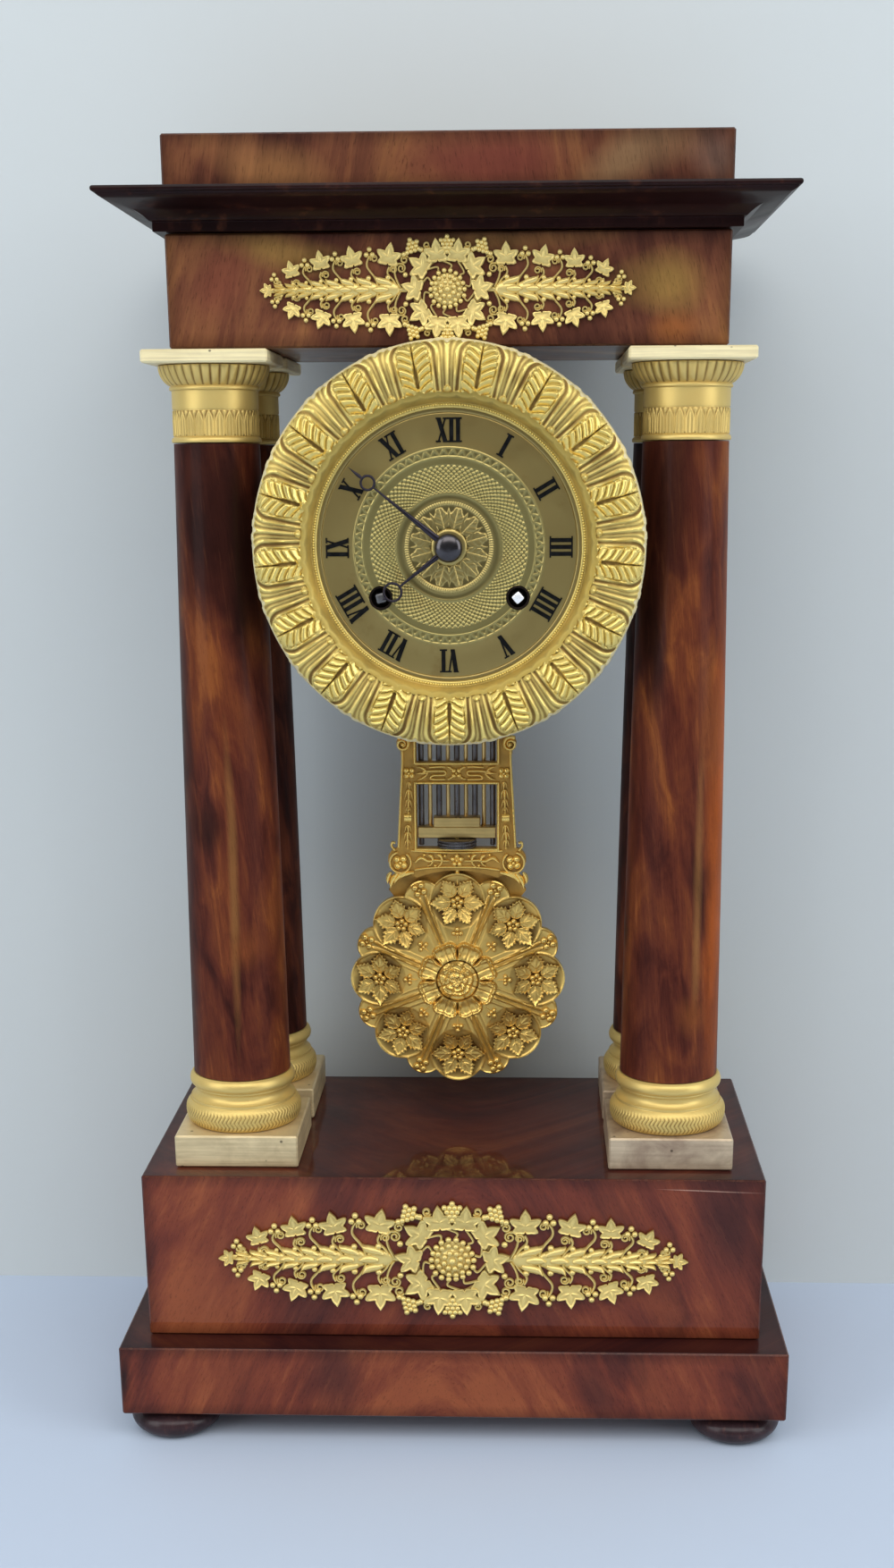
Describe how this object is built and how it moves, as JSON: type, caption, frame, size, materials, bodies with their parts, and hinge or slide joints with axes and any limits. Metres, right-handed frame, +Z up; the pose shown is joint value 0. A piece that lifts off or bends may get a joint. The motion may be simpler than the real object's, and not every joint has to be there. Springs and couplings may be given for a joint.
{
  "type": "portico clock",
  "caption": "Mantel clock in portico form: columns on a box base carry a lintel, with a drum movement, round dial, gridiron pendulum, bell and gilt mounts.",
  "frame": {"origin": "on the table, under the middle of the base", "axes": "+Z up, -Y out of the dial towards the viewer, +X to the viewer's right"},
  "size_m": [0.283, 0.16, 0.52],
  "materials": {
    "mahogany": "french-polished flame veneer",
    "dark_mahogany": "polished, nearly black",
    "gilt": "matte gilding with burnished highlights",
    "pale_brass": "satin",
    "dial_brass": "engine-turned satin",
    "steel": "plain",
    "black_steel": "blued nearly black",
    "bell_metal": "turned"
  },
  "bodies": {
    "case": {"foot_front_left": "dark_mahogany", "foot_front_right": "dark_mahogany", "foot_rear_left": "dark_mahogany", "foot_rear_right": "dark_mahogany", "base_plinth": "mahogany", "base_box": "mahogany", "base_mount": "gilt", "column_block_front_left": "pale_brass", "column_block_front_right": "pale_brass", "column_block_rear_left": "pale_brass", "column_block_rear_right": "pale_brass", "column_base_front_left": "gilt", "column_base_front_right": "gilt", "column_base_rear_left": "gilt", "column_base_rear_right": "gilt", "column_shaft_front_left": "mahogany", "column_shaft_front_right": "mahogany", "column_shaft_rear_left": "mahogany", "column_shaft_rear_right": "mahogany", "capital_front_left": "gilt", "capital_front_right": "gilt", "capital_rear_left": "gilt", "capital_rear_right": "gilt", "abacus_front_left": "pale_brass", "abacus_front_right": "pale_brass", "abacus_rear_left": "pale_brass", "abacus_rear_right": "pale_brass", "tie_rod_front_left": "steel", "tie_rod_front_right": "steel", "tie_rod_rear_left": "steel", "tie_rod_rear_right": "steel", "lintel_box": "mahogany", "lintel_mount": "gilt", "cornice": "dark_mahogany", "attic_block": "mahogany", "bezel": "gilt", "dial": "dial_brass", "movement_drum": "pale_brass", "saddle_bracket": "pale_brass", "front_plate": "pale_brass", "back_plate": "pale_brass", "suspension_cock": "pale_brass", "bell": "bell_metal"},
    "minute": {"centre_arbor": "steel", "minute_hand": "black_steel"},
    "hour": {"hour_wheel": "pale_brass", "hour_hand": "black_steel"},
    "minute_wheel": {"minute_wheel": "pale_brass"},
    "intermediate": {"intermediate_wheel": "pale_brass"},
    "going_barrel": {"going_barrel": "pale_brass"},
    "strike_barrel": {"strike_barrel": "pale_brass"},
    "going_winding": {"going_winding_arbor": "steel"},
    "strike_winding": {"strike_winding_arbor": "steel"},
    "escape_wheel": {"escape_wheel": "pale_brass"},
    "pallets": {"pallets": "steel"},
    "pendulum": {"pendulum_frame": "gilt", "gridiron": "pale_brass"},
    "rating_nut": {"rating_nut": "black_steel"},
    "bob": {"pendulum_bob": "gilt"},
    "hammer": {"bell_hammer": "steel"}
  },
  "joints": [
    {"name": "minute_hand_turn", "type": "hinge", "parent": "case", "child": "minute", "pos_m": [0, -0.05, 0.373], "axis": [0, 1, 0], "continuous": true},
    {"name": "hour_hand_turn", "type": "hinge", "parent": "case", "child": "hour", "pos_m": [0, -0.05, 0.373], "axis": [0, 1, 0], "continuous": true},
    {"name": "minute_wheel_turn", "type": "hinge", "parent": "case", "child": "minute_wheel", "pos_m": [0, -0.048, 0.361], "axis": [0, 1, 0], "continuous": true},
    {"name": "intermediate_wheel_turn", "type": "hinge", "parent": "case", "child": "intermediate", "pos_m": [0.01282, -0.03, 0.36737], "axis": [0, 1, 0], "continuous": true},
    {"name": "going_barrel_turn", "type": "hinge", "parent": "case", "child": "going_barrel", "pos_m": [0.0266, -0.03, 0.354], "axis": [0, 1, 0], "continuous": true},
    {"name": "strike_barrel_turn", "type": "hinge", "parent": "case", "child": "strike_barrel", "pos_m": [-0.0266, -0.03, 0.354], "axis": [0, 1, 0], "continuous": true},
    {"name": "going_winding_turn", "type": "hinge", "parent": "case", "child": "going_winding", "pos_m": [0.0266, -0.03, 0.354], "axis": [0, 1, 0], "continuous": true},
    {"name": "strike_winding_turn", "type": "hinge", "parent": "case", "child": "strike_winding", "pos_m": [-0.0266, -0.03, 0.354], "axis": [0, 1, 0], "continuous": true},
    {"name": "escape_wheel_turn", "type": "hinge", "parent": "case", "child": "escape_wheel", "pos_m": [0, -0.03, 0.39], "axis": [0, 1, 0], "continuous": true},
    {"name": "pallets_swing", "type": "hinge", "parent": "case", "child": "pallets", "pos_m": [0, -0.02, 0.406], "axis": [0, 1, 0], "range_deg": [-4, 4]},
    {"name": "pendulum_swing", "type": "hinge", "parent": "case", "child": "pendulum", "pos_m": [0, 0.015, 0.406], "axis": [0, 1, 0], "range_deg": [-4, 4]},
    {"name": "rating_nut_turn", "type": "hinge", "parent": "pendulum", "child": "rating_nut", "pos_m": [0, 0.015, 0.2445], "axis": [0, 0, 1], "range_deg": [-720, 720]},
    {"name": "bob_slide", "type": "slide", "parent": "pendulum", "child": "bob", "axis": [0, 0, 1], "range_m": [-0.001, 0.001]},
    {"name": "hammer_lift", "type": "hinge", "parent": "case", "child": "hammer", "pos_m": [-0.03, 0.01, 0.347], "axis": [0, -1, 0], "range_deg": [0, 18], "stiffness_Nm_per_rad": 0.002}
  ],
  "couplings": [
    {"joint": "minute_hand_turn", "follows": "going_barrel_turn", "ratio": 54},
    {"joint": "hour_hand_turn", "follows": "going_barrel_turn", "ratio": 4.5},
    {"joint": "minute_wheel_turn", "follows": "going_barrel_turn", "ratio": -18},
    {"joint": "intermediate_wheel_turn", "follows": "going_barrel_turn", "ratio": -9},
    {"joint": "pallets_swing", "follows": "pendulum_swing", "ratio": 1},
    {"joint": "rating_nut_turn", "follows": "bob_slide", "rad_per_m": 12560}
  ]
}
